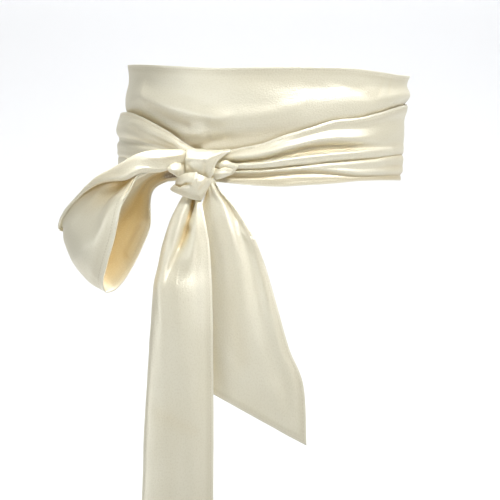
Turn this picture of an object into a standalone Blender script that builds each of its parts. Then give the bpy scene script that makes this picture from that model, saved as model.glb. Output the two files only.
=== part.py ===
# A satin sash as it is worn: two turns of cloth round a waist, tied at the front
# left in a half bow with one loop and two hanging tails.
#
# Frame: the origin is the centre of the waist at the band's mid-height, +Z is up,
# the front faces -Y and +X is to a viewer's right. Tables are in millimetres and
# degrees, and angles run round the waist from the front (0) to +X (90).

import bpy
import numpy as np

MM = 0.001

# The waist that the first turn lies on, an ellipse seen from above.
WAIST_HALF_WIDTH = 118.0
WAIST_HALF_DEPTH = 90.0

# The cloth, cut as one strip, and the seams between the pieces.
CLOTH = 1.2
SEAM = 0.3
TURN_CLEARANCE = CLOTH + 4 * SEAM

# How finely each piece is divided: stations along the strip and points across it.
FRONT_STEP = 5.0
BACK_STEP = 12.0
FRONT_REACH = 100.0
LOOP_STATIONS = 40
LOOP_POINTS = 21
TAIL_STATIONS = 26
TAIL_POINTS = 13
KNOT_STATIONS = 13
KNOT_POINTS = 9

SATIN = (0.86, 0.80, 0.66)
SATIN_SHADED = (0.83, 0.76, 0.60)
SATIN_ROUGHNESS = 0.38


def table(columns, rows):
    """Named columns from a table written row by row."""
    names = columns.split()
    values = np.array(rows, dtype=float)
    return {name: values[:, place] for place, name in enumerate(names)}


def smooth(xs, ys, at, closed=False):
    """Read a smooth curve through (xs, ys) at one or more places."""
    if closed:
        span = xs[-1] - xs[0]
        xs = np.concatenate([[xs[-2] - span], xs, [xs[1] + span]])
        ys = np.concatenate([[ys[-2]], ys, [ys[1]]])
    rise = np.diff(ys) / np.diff(xs)
    slope = np.empty(len(xs))
    slope[0] = rise[0]
    slope[-1] = rise[-1]
    before = np.diff(xs)[:-1]
    after = np.diff(xs)[1:]
    slope[1:-1] = (rise[:-1] * after + rise[1:] * before) / (before + after)
    at = np.atleast_1d(at)
    cell = np.clip(np.searchsorted(xs, at) - 1, 0, len(xs) - 2)
    width = xs[cell + 1] - xs[cell]
    t = (at - xs[cell]) / width
    return ((2 * t**3 - 3 * t**2 + 1) * ys[cell] + (t**3 - 2 * t**2 + t) * width * slope[cell]
            + (3 * t**2 - 2 * t**3) * ys[cell + 1] + (t**3 - t**2) * width * slope[cell + 1])


def sections(rows, key, places, closed=False):
    """One row of named values for each new place along a table."""
    columns = {name: smooth(rows[key], column, places, closed) for name, column in rows.items()}
    return [{name: float(columns[name][place]) for name in columns} for place in range(len(places))]


def through(points, count):
    """Evenly spaced points on a smooth curve through a section's control points."""
    points = np.array(points, dtype=float)
    steps = np.linalg.norm(np.diff(points, axis=0), axis=1)
    run = np.concatenate([[0.0], np.cumsum(steps)])
    at = np.linspace(0.0, run[-1], count)
    return np.stack([smooth(run, points[:, axis], at) for axis in range(3)], axis=1)


def satin(name, colour):
    material = bpy.data.materials.new(name)
    material.use_nodes = True
    shader = material.node_tree.nodes["Principled BSDF"]
    shader.inputs["Base Color"].default_value = (*colour, 1.0)
    shader.inputs["Roughness"].default_value = SATIN_ROUGHNESS
    shader.inputs["Metallic"].default_value = 0.0
    material.diffuse_color = (*colour, 1.0)
    return material


def cloth_wall(name, middle, material, joined=False, thickness=CLOTH):
    """A closed wall of cloth on both sides of a grid of middle points.

    The grid is stations x points x 3 in millimetres. A joined wall runs all the
    way round, so that its last station meets its first.
    """
    stations, across = middle.shape[:2]
    if joined:
        along = np.roll(middle, -1, axis=0) - np.roll(middle, 1, axis=0)
    else:
        along = np.gradient(middle, axis=0)
    normal = np.cross(along, np.gradient(middle, axis=1))
    normal /= np.linalg.norm(normal, axis=2, keepdims=True)
    sides = [middle + normal * thickness / 2, middle - normal * thickness / 2]
    points = np.concatenate([side.reshape(-1, 3) for side in sides]) * MM

    def at(side, station, point):
        return side * stations * across + (station % stations) * across + point

    faces = []
    spans = stations if joined else stations - 1
    for i in range(spans):
        for j in range(across - 1):
            faces.append((at(0, i, j), at(0, i + 1, j), at(0, i + 1, j + 1), at(0, i, j + 1)))
            faces.append((at(1, i, j + 1), at(1, i + 1, j + 1), at(1, i + 1, j), at(1, i, j)))
        last = across - 1
        faces.append((at(1, i, 0), at(1, i + 1, 0), at(0, i + 1, 0), at(0, i, 0)))
        faces.append((at(0, i, last), at(0, i + 1, last), at(1, i + 1, last), at(1, i, last)))
    if not joined:
        end = stations - 1
        for j in range(across - 1):
            faces.append((at(0, 0, j), at(0, 0, j + 1), at(1, 0, j + 1), at(1, 0, j)))
            faces.append((at(1, end, j), at(1, end, j + 1), at(0, end, j + 1), at(0, end, j)))

    mesh = bpy.data.meshes.new(name)
    mesh.from_pydata(points.tolist(), [], faces)
    mesh.materials.append(material)
    mesh.shade_smooth()
    mesh.set_sharp_from_angle(angle=np.radians(50))
    mesh.validate()
    piece = bpy.data.objects.new(name, mesh)
    bpy.context.scene.collection.objects.link(piece)
    return piece


def round_waist(angle, out):
    """The point that lies `out` millimetres outside the waist's ellipse."""
    angle = np.radians(angle)
    x = WAIST_HALF_WIDTH * np.sin(angle)
    y = -WAIST_HALF_DEPTH * np.cos(angle)
    outward = np.stack([WAIST_HALF_DEPTH * np.sin(angle), -WAIST_HALF_WIDTH * np.cos(angle)])
    outward /= np.linalg.norm(outward, axis=0)
    return x + out * outward[0], y + out * outward[1]


def angles_between(first, last):
    """Angles round the waist, close together in front and wider apart behind."""
    at = [first]
    while at[-1] < last:
        from_front = abs((at[-1] + 180.0) % 360.0 - 180.0)
        at.append(at[-1] + (FRONT_STEP if from_front < FRONT_REACH else BACK_STEP))
    at[-1] = last
    if at[-1] - at[-2] < FRONT_STEP / 3:
        del at[-2]
    return np.array(at)


# First turn: the flat upper band, a full ring. Each row is a section round the
# waist, with its top edge's height and how far it stands out at its top edge, at
# the hollow under it, at its swell, and where the outer turn crosses it.
FIRST_TURN = table("angle top out_top out_hollow out_swell out_cross", [
    (-180, 49.0, 5.0, 4.6, 6.0, 3.0),
    (-135, 51.5, 5.2, 4.6, 6.6, 3.6),
    (-90, 53.7, 5.8, 4.6, 8.0, 6.0),
    (-57, 52.2, 5.4, 4.6, 8.0, 3.4),
    (-41, 50.3, 5.0, 4.4, 7.4, 1.8),
    (-22, 48.1, 5.0, 5.0, 6.2, 0.8),
    (0, 48.5, 5.0, 5.2, 5.6, 1.0),
    (19, 48.7, 5.0, 5.0, 6.0, 2.0),
    (35, 48.2, 5.2, 4.8, 6.6, 2.8),
    (48, 46.1, 6.0, 5.0, 7.2, 3.0),
    (62, 44.1, 7.6, 5.4, 8.2, 3.0),
    (90, 44.3, 9.2, 6.2, 9.0, 2.8),
    (135, 46.5, 7.0, 5.2, 7.6, 3.0),
    (180, 49.0, 5.0, 4.6, 6.0, 3.0),
])
FIRST_TURN_BOTTOM = -42.0
UNDER_THE_OUTER_TURN = -1.6

# Outer turn: it crosses the first one, gathered into tucks that run into the knot.
# Each row has the heights of its edges and tucks, how far the cloth stands out
# between them, how deep they go, and how far the lower edge draws in.
OUTER_TURN = table("angle top tuck_a tuck_a_foot tuck_b tuck_c bottom out depth draw", [
    (-27, -25.4, -30.2, -31.8, -36.2, -39.6, -45.0, 7.6, 1.4, 0.0),
    (-11, -18.1, -28.6, -30.6, -35.6, -39.2, -48.3, 7.4, 3.2, 0.0),
    (-3, -15.0, -26.8, -29.2, -35.2, -38.6, -49.7, 7.0, 3.2, 0.0),
    (6, -8.0, -21.6, -26.0, -33.4, -37.4, -50.2, 6.6, 3.2, 0.0),
    (15, -2.5, -16.6, -23.6, -31.6, -36.6, -49.2, 6.2, 3.0, 0.2),
    (26, 4.4, -14.3, -21.4, -29.4, -38.2, -48.2, 6.0, 2.8, 0.5),
    (38, 6.9, -15.2, -20.0, -28.0, -41.4, -46.6, 6.0, 2.4, 1.0),
    (49, 11.0, -15.6, -19.0, -26.9, -42.0, -46.4, 5.8, 2.0, 1.6),
    (62, 15.7, -14.6, -18.0, -25.2, -42.2, -47.0, 5.4, 1.6, 2.2),
    (85, 18.8, -12.6, -16.4, -25.0, -42.4, -48.3, 5.0, 1.4, 2.6),
    (120, 20.0, -9.6, -14.4, -24.5, -40.0, -48.0, 5.4, 1.8, 2.0),
    (150, 21.0, -6.4, -11.6, -24.6, -37.0, -48.0, 5.8, 2.2, 1.0),
    (180, 21.0, -3.6, -9.4, -25.0, -34.6, -48.0, 6.2, 2.4, 0.5),
    (215, 18.0, -5.6, -11.0, -24.2, -34.4, -48.0, 6.8, 2.2, 0.5),
    (250, 13.6, -8.6, -13.2, -24.8, -36.0, -47.6, 11.0, 1.8, 0.5),
    (270, 11.0, -9.4, -14.0, -26.0, -37.0, -47.5, 14.6, 2.2, 0.0),
    (297, 10.4, -10.4, -15.0, -27.6, -38.0, -47.0, 14.4, 2.8, 0.0),
    (306, 5.7, -12.8, -17.0, -28.8, -38.2, -47.0, 13.8, 3.0, 0.0),
    (315, -1.4, -16.2, -20.0, -30.4, -38.6, -47.0, 13.0, 3.0, 0.0),
    (320, -6.0, -19.0, -22.6, -31.8, -39.0, -46.4, 13.2, 3.0, 0.0),
    (325, -12.4, -22.2, -25.2, -33.0, -39.6, -45.6, 13.0, 2.8, 0.0),
    (331, -19.0, -25.8, -28.0, -34.4, -40.0, -44.6, 12.6, 2.4, 0.0),
])
EDGE_LIP = 1.6
EDGE_SET_BACK = 3.0
TUCK_LIP = 1.2


def first_turn_out(angle, height):
    """How far the first turn stands out at an angle and a height."""
    row = sections(FIRST_TURN, "angle", [(angle + 180.0) % 360.0 - 180.0], closed=True)[0]
    cross = crossing_height(angle)
    fall = row["top"] - cross
    heights = np.array([FIRST_TURN_BOTTOM - 10.0, cross - 9.0, cross,
                        cross + 0.30 * fall, cross + 0.68 * fall, row["top"] + 1.0], dtype=float)
    outs = np.array([UNDER_THE_OUTER_TURN, UNDER_THE_OUTER_TURN, row["out_cross"],
                     row["out_swell"], row["out_hollow"], row["out_top"]], dtype=float)
    return smooth(heights, outs, height)


def crossing_height(angle):
    """The height of the outer turn's top edge, which the knot bridges."""
    first, last = OUTER_TURN["angle"][0], OUTER_TURN["angle"][-1]
    angle = (angle - first) % 360.0 + first
    if angle > last:
        share = (angle - last) / (first + 360.0 - last)
        return OUTER_TURN["top"][-1] * (1 - share) + OUTER_TURN["top"][0] * share
    return float(smooth(OUTER_TURN["angle"], OUTER_TURN["top"], angle)[0])


def first_turn():
    angles = angles_between(-180.0, 180.0)[:-1]
    grid = []
    for angle in angles:
        top = float(smooth(FIRST_TURN["angle"], FIRST_TURN["top"], angle, closed=True)[0])
        cross = crossing_height(angle)
        upper = np.linspace(top, cross, 8)
        lower = np.array([cross - 4.0, cross - 9.0, FIRST_TURN_BOTTOM])
        if cross - 9.0 < FIRST_TURN_BOTTOM + 2.0:
            lower = np.linspace(cross, FIRST_TURN_BOTTOM, 4)[1:]
        heights = np.concatenate([upper, lower])
        outs = first_turn_out(angle, heights)
        x, y = round_waist(angle, outs)
        grid.append(np.stack([x, y, heights], axis=1))
    return cloth_wall("first_turn", np.array(grid), satin("satin_band", SATIN), joined=True)


def outer_turn_section(row):
    """Heights and outs down one section, tuck by tuck."""
    edge_lip = min(EDGE_LIP, 0.16 * (row["top"] - row["tuck_a"]))
    lip_a = min(TUCK_LIP, 0.3 * (row["top"] - row["tuck_a"]))
    lip_b = min(TUCK_LIP, 0.3 * (row["tuck_a_foot"] - row["tuck_b"]))
    lip_c = min(TUCK_LIP, 0.3 * (row["tuck_b"] - row["tuck_c"]))
    out, depth = row["out"], row["depth"]
    edge = max(first_turn_out(row["angle"], row["top"])[0] + TURN_CLEARANCE, out - EDGE_SET_BACK)
    return np.array([
        (row["top"], edge),
        (row["top"] - edge_lip, edge + 0.5),
        (row["top"] * 0.62 + row["tuck_a"] * 0.38, out),
        (row["top"] * 0.25 + row["tuck_a"] * 0.75 + lip_a, out - 0.2 * depth),
        ((row["tuck_a"] + row["tuck_a_foot"]) / 2, out - depth),
        (row["tuck_a_foot"], out - 0.6 * depth),
        ((row["tuck_a_foot"] + row["tuck_b"]) / 2, out + 0.2 * depth),
        (row["tuck_b"] + lip_b, out + 0.1 * depth),
        (row["tuck_b"] - 0.5 * lip_b, out - 0.9 * depth),
        ((row["tuck_b"] + row["tuck_c"]) / 2, out - 0.2 * depth),
        (row["tuck_c"] + lip_c, out),
        (row["tuck_c"] - 0.5 * lip_c, out - 0.8 * depth),
        ((row["tuck_c"] + row["bottom"]) / 2, out - 0.2 * depth),
        (row["bottom"], out - 0.4 * depth),
    ])


def outer_turn():
    angles = angles_between(OUTER_TURN["angle"][0], OUTER_TURN["angle"][-1])
    grid = []
    for row in sections(OUTER_TURN, "angle", angles):
        heights, outs = outer_turn_section(row).T
        outs = outs - row["draw"] * (row["top"] - heights) / (row["top"] - row["bottom"])
        outs = np.maximum(outs, first_turn_out(row["angle"], heights) + TURN_CLEARANCE)
        x, y = round_waist(row["angle"], outs)
        grid.append(np.stack([x, y, heights], axis=1))
    return cloth_wall("outer_turn", np.array(grid), satin("satin_gathered", SATIN))


# Bow loop: a strip that leaves the knot, turns at its far end and comes back
# behind. The hem is the edge round its mouth, and the crest is its upper fold. The
# roll hangs down from the crest in front of the panel and stands proud of it.
# Hollow and belly are how far the panel lies inside and outside the straight.
LOOP = table("station hem_x hem_y hem_z crest_x crest_y crest_z roll proud hollow belly", [
    (0, -66.5, -100, -34, -65, -100, -22.8, 4, 2.6, 0, 0),
    (1, -86, -108.0, -38, -85, -105, -19.0, 17, 5.0, 0, 0),
    (2, -105, -116, -43, -102, -108, -21.5, 19, 6.0, 0, 0),
    (3, -113, -123, -53, -121, -107, -32.0, 16, 6.5, 3, 0),
    (4, -119.5, -126, -66, -143.5, -98, -44.0, 12, 6.0, 4, 3),
    (5, -125, -125, -90, -161, -88, -60.0, 4, 3.4, 1, 5),
    (6, -132, -120, -113, -172.5, -78, -72.5, 3, 2.4, -6, 6),
    (7, -136, -113, -128.5, -177.5, -68, -81, 3, 2.2, -9, 6),
    (8, -134, -105, -137, -178, -60, -86, 3, 2.2, -7, 6),
    (9, -125.5, -99, -134, -172, -55, -85, 3, 2.4, -4, 4),
    (10, -115, -95, -120, -160, -57, -77, 3, 2.4, 0, 3),
    (11, -105, -93, -100, -146, -62, -65, 3, 2.6, 0, 2),
    (12, -98.5, -92, -83, -130, -69, -54, 4, 3.0, 0, 1),
    (13, -98.5, -91, -65, -114, -77, -46, 4, 3.0, 0, 1),
    (14, -95.5, -92, -53, -100, -86, -39, 3, 2.6, 0, 0),
    (15, -84, -94, -46, -84, -92, -33, 3, 2.0, 0, 0),
])


def bow_loop():
    rows = sections(LOOP, "station", np.linspace(0, LOOP["station"][-1], LOOP_STATIONS))
    hem = np.array([(row["hem_x"], row["hem_y"], row["hem_z"]) for row in rows])
    crest = np.array([(row["crest_x"], row["crest_y"], row["crest_z"]) for row in rows])
    outward = np.cross(crest - hem, np.gradient((hem + crest) / 2, axis=0))
    outward /= np.linalg.norm(outward, axis=1, keepdims=True)
    grid = []
    for row, out, low, high in zip(rows, outward, hem, crest):
        up = (high - low) / np.linalg.norm(high - low)
        roll, proud = row["roll"], row["proud"]
        grid.append(through([
            high + out * (0.85 * proud - 0.14 * roll) - up * 0.97 * roll,
            high + out * 0.9 * proud - up * 0.9 * roll,
            high + out * proud - up * 0.55 * roll,
            high + out * 0.55 * proud - up * 0.08 * roll,
            high - out * 0.15 * proud - up * 0.1 * roll,
            low * 0.25 + high * 0.75 - out * 0.6 * row["hollow"],
            low * 0.55 + high * 0.45 - out * row["hollow"],
            low * 0.8 + high * 0.2 + out * row["belly"],
            low,
        ], LOOP_POINTS))
    return cloth_wall("bow_loop", np.array(grid), satin("satin_loop", SATIN))


# Left tail: it hangs in front, from under the knot to a slanted end. Each row is
# a section, with the edge that rounds away on the left, the right edge, how far
# forward it hangs, its crown, the crease below the knot and the cloth turned back
# behind the left side. The slant tips the section down to the left.
LEFT_TAIL = table("drop left right front crown crease crease_at back slant", [
    (-52, -67, -57, -103.6, 1, 1, 0.5, 4, 0),
    (-62, -73, -55, -109.0, 2, 4, 0.62, 8, 0),
    (-72, -78.5, -53, -111, 3, 4, 0.55, 14, 0),
    (-95, -87.3, -49, -114, 4, 3, 0.4, 20, 0),
    (-128, -93, -46.7, -117, 5, 1, 0.2, 26, 0),
    (-165, -97.2, -46, -119, 4, 0, 0.2, 28, 0),
    (-215, -100.8, -45.5, -122, 3, 0, 0.2, 28, 0),
    (-306, -105.6, -45.6, -129, 3, 0, 0.2, 32, 4),
    (-400, -108, -46, -133, 3, 0, 0.2, 38, 12),
    (-480, -109, -46, -136, 3, 0, 0.2, 40, 34),
    (-528, -110, -46, -138, 2, 0, 0.2, 40, 62),
])
BACK_FOLD_DEPTH = 5.0


def left_tail():
    drops = np.linspace(0, 1, TAIL_STATIONS) ** 1.35
    first, last = LEFT_TAIL["drop"][0], LEFT_TAIL["drop"][-1]
    upward = {name: column[::-1] for name, column in LEFT_TAIL.items()}
    grid = []
    for row in sections(upward, "drop", first + (last - first) * drops):
        width = row["right"] - row["left"]
        deep = min(BACK_FOLD_DEPTH, row["back"])

        def point(share, back, row=row, width=width):
            x = row["left"] + width * share
            return (x, row["front"] + back, row["drop"] + row["slant"] * (share - 0.5))

        near = row["crease_at"]
        grid.append(through([
            point(row["back"] / width, deep),
            point(0.5 * row["back"] / width, deep * 1.05),
            point(0.02, deep * 0.75),
            point(0.03, deep * 0.2 - 0.2 * row["crown"]),
            point(0.5 * near + 0.04, -row["crown"] * 0.8),
            point(near, row["crease"] - row["crown"] * 0.8),
            point(0.5 * near + 0.5, -row["crown"]),
            point(1.0, 0.0),
        ], TAIL_POINTS))
    return cloth_wall("left_tail", np.array(grid), satin("satin_left_tail", SATIN))


# Right tail: it swings out behind the left one to a slanted end. Each row has its
# hidden left edge and its right edge, their depths, the crown of the cloth between
# them and the fold that runs down inside its right edge.
RIGHT_TAIL = table("station left_x left_z right_x right_z left_y right_y crown fold", [
    (0, -51, -43.6, -45, -42.6, -103.0, -103.2, 0, 0),
    (1, -52, -55, -39.5, -53, -101.8, -101.8, 2, 1),
    (2, -55, -66, -27, -66, -102, -103, 2, 3),
    (3, -58, -83, -15.5, -84, -103, -106, 3, 3),
    (4, -60, -110, -4, -111, -103, -107, 3, 2),
    (5, -62, -145, 7, -148, -104, -109, 4, 1),
    (6, -63, -178, 17, -183, -105, -111, 4, 0),
    (7, -63, -199, 29, -214, -106, -113, 3, 0),
    (8, -62, -213, 31.6, -264, -107, -115, 2, 0),
])


def right_tail():
    stations = np.linspace(0, RIGHT_TAIL["station"][-1], TAIL_STATIONS)
    grid = []
    for row in sections(RIGHT_TAIL, "station", stations):
        left = np.array([row["left_x"], row["left_y"], row["left_z"]])
        right = np.array([row["right_x"], row["right_y"], row["right_z"]])
        forward = np.array([0.0, -1.0, 0.0])
        grid.append(through([
            left,
            left * 0.7 + right * 0.3 + forward * row["crown"] * 0.8,
            left * 0.35 + right * 0.65 + forward * row["crown"],
            left * 0.2 + right * 0.8 + forward * (row["crown"] * 0.6 - row["fold"]),
            left * 0.08 + right * 0.92 + forward * row["crown"] * 0.5,
            right,
        ], TAIL_POINTS))
    return cloth_wall("right_tail", np.array(grid), satin("satin_right_tail", SATIN_SHADED))


# The knot: four stretches of the strip that show on it. Each is a net of points
# (x, y, z), one line a station along the stretch, five points across it.

# Upper strap: from the top of the knot, over its front and down under the lower
# strap, left edge first.
UPPER_STRAP = [
    [(-67.2, -98.6, -19.6), (-59.8, -98.6, -19.1), (-50.7, -98.0, -19.4), (-40.8, -96.4, -19.8), (-31.3, -95.2, -19.8)],
    [(-67.8, -105.0, -22.5), (-60.3, -107.3, -23.0), (-50.5, -106.8, -22.7), (-41.5, -103.0, -21.0), (-30.7, -96.9, -20.6)],
    [(-68.0, -107.5, -26.5), (-60.5, -111.8, -27.5), (-52.0, -111.8, -27.2), (-45.1, -108.4, -24.5), (-34.6, -101.4, -22.8)],
    [(-68.0, -107.8, -31.0), (-60.9, -112.6, -32.1), (-53.2, -113.0, -32.5), (-47.1, -110.8, -30.5), (-40.3, -105.0, -26.8)],
    [(-67.7, -107.4, -35.1), (-60.6, -111.4, -36.6), (-53.6, -111.8, -37.9), (-48.3, -110.2, -36.7), (-44.1, -106.6, -32.3)],
    [(-66.6, -105.5, -38.9), (-59.9, -108.4, -40.8), (-53.7, -108.4, -42.9), (-49.3, -107.4, -43.0), (-45.3, -105.2, -38.9)],
]
# Lower strap: from the right of the knot, over the upper strap and back under at
# the left, upper edge first.
LOWER_STRAP = [
    [(-46.6, -110.4, -42.7), (-47.6, -110.6, -46.1), (-49.3, -110.4, -49.8), (-51.8, -110.0, -54.7), (-54.7, -109.6, -60.3)],
    [(-49.9, -114.0, -41.9), (-50.8, -115.5, -45.9), (-52.7, -116.0, -50.3), (-55.2, -115.2, -55.7), (-57.6, -112.6, -60.2)],
    [(-55.1, -116.0, -39.8), (-56.1, -118.4, -44.4), (-57.7, -119.0, -49.4), (-59.8, -118.0, -54.8), (-61.6, -114.4, -59.6)],
    [(-60.4, -116.0, -38.0), (-61.5, -119.0, -42.6), (-63.1, -119.6, -47.7), (-65.2, -118.4, -53.5), (-66.7, -114.6, -57.9)],
    [(-67.0, -114.4, -38.5), (-67.6, -116.6, -42.5), (-69.0, -116.8, -46.7), (-71.0, -116.0, -51.6), (-72.5, -112.8, -55.7)],
    [(-73.2, -110.6, -41.3), (-73.4, -111.8, -44.5), (-74.9, -112.0, -47.9), (-77.1, -111.4, -51.2), (-78.3, -109.6, -53.4)],
    [(-75.3, -107.0, -43.2), (-76.0, -107.2, -45.6), (-77.8, -107.2, -48.3), (-79.8, -107.2, -50.7), (-80.6, -106.6, -52.1)],
]
# Side fold: the crushed end of the outer turn at the right of the knot, from the
# knot to its tip, upper edge first.
SIDE_FOLD = [
    [(-45.0, -102.2, -32.7), (-45.3, -103.3, -35.6), (-45.5, -103.5, -38.2), (-45.0, -102.6, -40.9), (-43.1, -100.6, -43.9)],
    [(-40.3, -101.6, -30.2), (-40.0, -105.2, -33.6), (-39.9, -105.6, -37.0), (-39.5, -105.0, -40.1), (-39.1, -100.6, -42.9)],
    [(-35.8, -100.0, -28.1), (-35.4, -104.2, -31.3), (-35.1, -104.8, -34.7), (-34.8, -103.8, -38.0), (-34.4, -99.4, -41.3)],
    [(-30.4, -98.6, -30.1), (-30.2, -101.4, -32.4), (-30.2, -102.0, -34.8), (-30.2, -101.0, -37.3), (-30.3, -98.4, -39.7)],
    [(-25.0, -97.5, -32.8), (-25.1, -98.1, -33.6), (-25.8, -98.3, -34.6), (-26.8, -98.1, -35.8), (-27.6, -97.5, -36.9)],
]
# Loop root: the rolled cloth between the loop and the knot, from the loop to the
# knot, upper edge first.
LOOP_ROOT = [
    [(-82.0, -112.9, -33.7), (-82.4, -114.5, -34.6), (-82.0, -115.1, -35.9), (-80.9, -114.5, -37.0), (-79.8, -112.1, -37.6)],
    [(-79.5, -110.9, -31.4), (-79.7, -115.3, -33.6), (-79.3, -116.3, -35.7), (-78.3, -114.7, -37.8), (-77.4, -110.5, -39.3)],
    [(-75.6, -109.0, -30.2), (-75.5, -114.2, -33.0), (-75.2, -115.2, -36.0), (-74.7, -112.4, -39.2), (-74.3, -107.8, -41.4)],
    [(-72.3, -107.2, -30.6), (-72.1, -111.4, -33.2), (-71.9, -112.2, -36.3), (-71.8, -109.6, -39.3), (-71.7, -106.0, -41.4)],
    [(-69.3, -104.4, -31.8), (-69.1, -105.0, -34.1), (-69.0, -105.2, -36.5), (-69.1, -104.8, -39.0), (-69.1, -104.0, -40.7)],
    [(-65.4, -103.2, -32.6), (-65.4, -103.4, -34.6), (-65.4, -103.4, -36.7), (-65.4, -103.4, -38.6), (-65.4, -103.2, -39.9)],
]


def knot_stretch(name, net, material):
    """A stretch of the knot, smoothed through its net of points both ways."""
    rows = np.array([through(row, KNOT_POINTS) for row in net])
    columns = [through(rows[:, point], KNOT_STATIONS) for point in range(KNOT_POINTS)]
    return cloth_wall(name, np.stack(columns, axis=1), material)


for left_over in list(bpy.data.objects):
    bpy.data.objects.remove(left_over, do_unlink=True)

first_turn()
outer_turn()
bow_loop()
left_tail()
right_tail()
knot_stretch("upper_strap", UPPER_STRAP, satin("satin_upper_strap", SATIN))
knot_stretch("lower_strap", LOWER_STRAP, satin("satin_lower_strap", SATIN))
knot_stretch("side_fold", SIDE_FOLD, satin("satin_side_fold", SATIN_SHADED))
knot_stretch("loop_root", LOOP_ROOT, satin("satin_loop_root", SATIN_SHADED))
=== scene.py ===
# A satin sash as it is worn: two turns round a waist, tied at the front left in a
# half bow. The file goes through the sash in the order in which it is wound and
# tied. Tables are in millimetres and degrees; the frame is in metres.

import bpy
import numpy as np
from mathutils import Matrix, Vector, noise


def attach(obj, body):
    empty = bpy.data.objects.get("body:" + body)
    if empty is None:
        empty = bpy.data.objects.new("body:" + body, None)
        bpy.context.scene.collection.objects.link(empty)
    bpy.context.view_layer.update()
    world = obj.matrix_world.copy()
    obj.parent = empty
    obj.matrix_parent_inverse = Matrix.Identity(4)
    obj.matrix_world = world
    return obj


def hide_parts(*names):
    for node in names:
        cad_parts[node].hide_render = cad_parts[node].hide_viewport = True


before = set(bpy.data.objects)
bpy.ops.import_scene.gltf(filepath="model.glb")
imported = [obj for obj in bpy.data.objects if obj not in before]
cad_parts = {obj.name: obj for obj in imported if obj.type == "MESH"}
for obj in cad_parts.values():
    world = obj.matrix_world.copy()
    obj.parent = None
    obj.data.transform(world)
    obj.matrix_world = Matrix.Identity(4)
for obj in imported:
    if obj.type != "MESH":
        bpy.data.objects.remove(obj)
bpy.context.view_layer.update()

# First turn: the strip of satin is laid flat round the waist as a full ring, with
# its narrow turned hem along the top. It shows above the second turn, and it is
# pulled in to a hollow where that turn crosses it.
MM = 0.001
WAIST_HALF_WIDTH = 118.0
WAIST_HALF_DEPTH = 90.0
CLOTH = 0.8
HEM_WIDTH = 3.0
HEM_EXTRA = 0.35
HEM_STEP = 0.25
NO_HEM = 99.0
TURN_CLEARANCE = 2.4

FIRST_TURN_BOTTOM = -42.0
UNDER_THE_OUTER_TURN = -1.6
PRESSED_BELOW_CROSSING = 9.0
SWELL_AT = 0.30
HOLLOW_AT = 0.68


def bell(distance, reach):
    """A smooth bump, 1 where the distance is 0, that fades over its reach."""
    return np.exp(-(distance / reach) ** 2)


def table(columns, rows):
    """Named columns from a table written row by row."""
    names = columns.split()
    values = np.array(rows, dtype=float)
    return {name: values[:, place] for place, name in enumerate(names)}


def smooth(xs, ys, at, closed=False):
    """Read a smooth curve through (xs, ys) at one or more places."""
    if closed:
        span = xs[-1] - xs[0]
        xs = np.concatenate([[xs[-2] - span], xs, [xs[1] + span]])
        ys = np.concatenate([[ys[-2]], ys, [ys[1]]])
    rise = np.diff(ys) / np.diff(xs)
    slope = np.empty(len(xs))
    slope[0] = rise[0]
    slope[-1] = rise[-1]
    before = np.diff(xs)[:-1]
    after = np.diff(xs)[1:]
    slope[1:-1] = (rise[:-1] * after + rise[1:] * before) / (before + after)
    at = np.atleast_1d(at)
    cell = np.clip(np.searchsorted(xs, at) - 1, 0, len(xs) - 2)
    width = xs[cell + 1] - xs[cell]
    t = (at - xs[cell]) / width
    return ((2 * t**3 - 3 * t**2 + 1) * ys[cell] + (t**3 - 2 * t**2 + t) * width * slope[cell]
            + (3 * t**2 - 2 * t**3) * ys[cell + 1] + (t**3 - t**2) * width * slope[cell + 1])


def sections(rows, key, places, closed=False):
    """One row of named values for each new place along a table."""
    columns = {name: smooth(rows[key], column, places, closed) for name, column in rows.items()}
    return [{name: float(columns[name][place]) for name in columns} for place in range(len(places))]


def round_waist(angle, out):
    """The point that lies `out` millimetres outside the waist's ellipse."""
    angle = np.radians(angle)
    x = WAIST_HALF_WIDTH * np.sin(angle)
    y = -WAIST_HALF_DEPTH * np.cos(angle)
    outward = np.stack([WAIST_HALF_DEPTH * np.sin(angle), -WAIST_HALF_WIDTH * np.cos(angle)])
    outward /= np.linalg.norm(outward, axis=0)
    return x + out * outward[0], y + out * outward[1]


def normals(grid, joined=False):
    """The unit normal at each point of a grid, along the strip times across it."""
    if joined:
        along = np.roll(grid, -1, axis=0) - np.roll(grid, 1, axis=0)
    else:
        along = np.gradient(grid, axis=0)
    normal = np.cross(along, np.gradient(grid, axis=1))
    return normal / np.maximum(np.linalg.norm(normal, axis=2, keepdims=True), 1e-9)


HEM_ZONE = 4.6
POINTS_ON_A_HEM = 0.14


def shares_across(count, width):
    """Places across a strip from 0 to 1, closer together over the two hems."""
    hem = HEM_ZONE / width
    close = int(count * POINTS_ON_A_HEM)
    inner = np.linspace(hem, 1 - hem, count - 2 * close)
    edge = np.linspace(0, hem, close + 1)[:-1]
    return np.concatenate([edge, inner, 1 - edge[::-1]])


ROUTE_POINTS = 40
NARROW_CREASE = 8.0


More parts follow.
